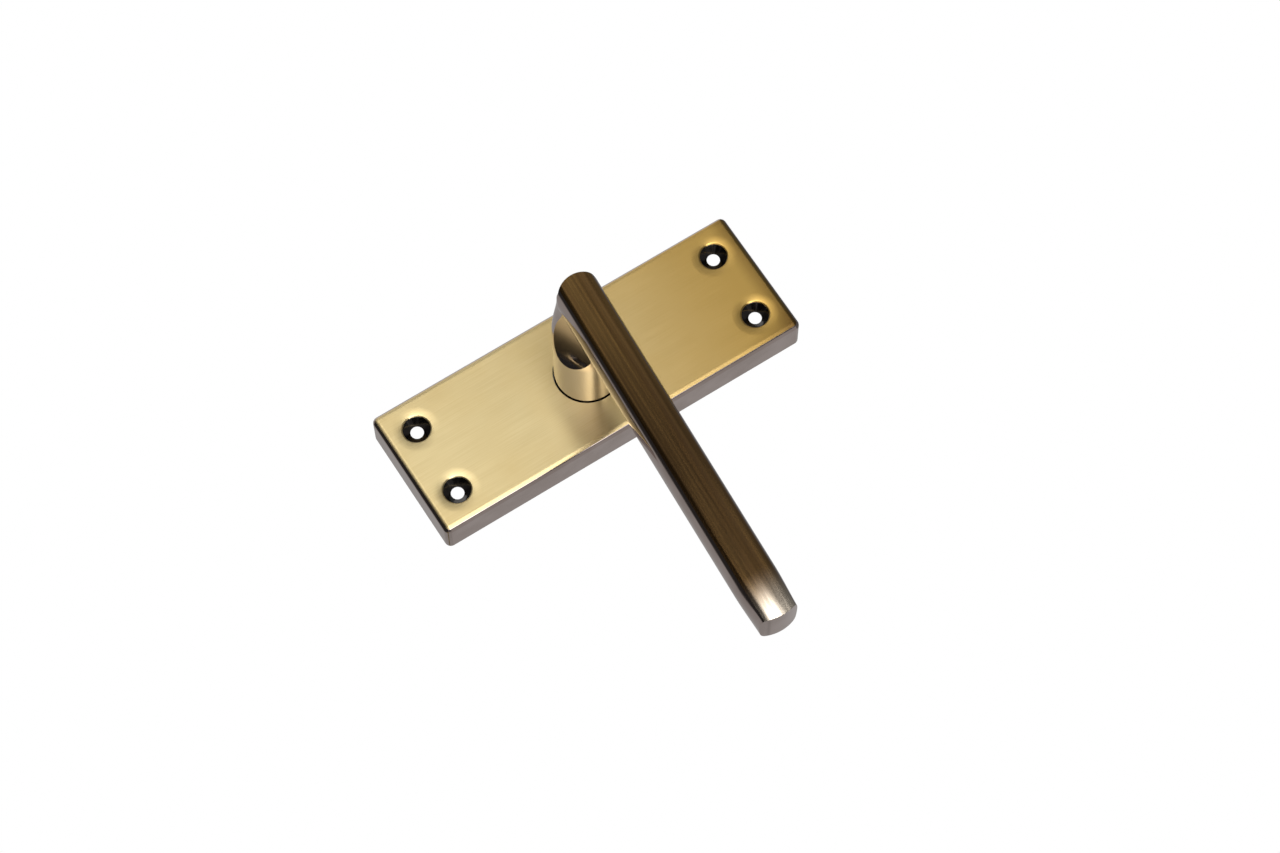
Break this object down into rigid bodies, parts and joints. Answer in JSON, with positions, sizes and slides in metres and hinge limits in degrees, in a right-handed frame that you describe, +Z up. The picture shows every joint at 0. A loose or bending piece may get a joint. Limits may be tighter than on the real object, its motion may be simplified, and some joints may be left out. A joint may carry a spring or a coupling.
{
  "type": "door lever handle",
  "caption": "Door lever handle with a straight slim lever on a round neck and a rectangular backplate, in lacquered antique bronze.",
  "frame": {"origin": "on the lever's turning axis, in the plane of the door face behind the backplate", "axes": "+Z up along the backplate, -Y out from the door towards the hand, -X along the lever to its tip"},
  "size_m": [0.1277, 0.1035, 0.12],
  "materials": {
    "plate_bronze": "satin",
    "lever_bronze": "gloss",
    "cast_zinc": "matte",
    "plated_steel": "satin",
    "spring_steel": "satin",
    "nylon": "matte"
  },
  "bodies": {
    "mounting": {"backplate": "plate_bronze", "spring_housing": "cast_zinc", "spring_cover": "plated_steel", "neck_bush": "nylon", "return_spring": "spring_steel", "housing_screw_1": "plated_steel", "lock_washer_1": "spring_steel", "housing_screw_2": "plated_steel", "lock_washer_2": "spring_steel", "housing_screw_3": "plated_steel", "lock_washer_3": "spring_steel", "housing_screw_4": "plated_steel", "lock_washer_4": "spring_steel"},
    "handle": {"lever": "lever_bronze", "thrust_washer": "nylon", "drive_cam": "plated_steel", "wave_washer": "spring_steel", "circlip": "spring_steel", "grub_screw": "spring_steel", "spindle": "plated_steel"}
  },
  "joints": [
    {"name": "lever_turn", "type": "hinge", "parent": "mounting", "child": "handle", "pos_m": [0, 0, 0], "axis": [0, -1, 0], "range_deg": [0, 50], "stiffness_Nm_per_rad": 0.6, "springref_deg": -34.38, "deforming": ["return_spring"]}
  ]
}
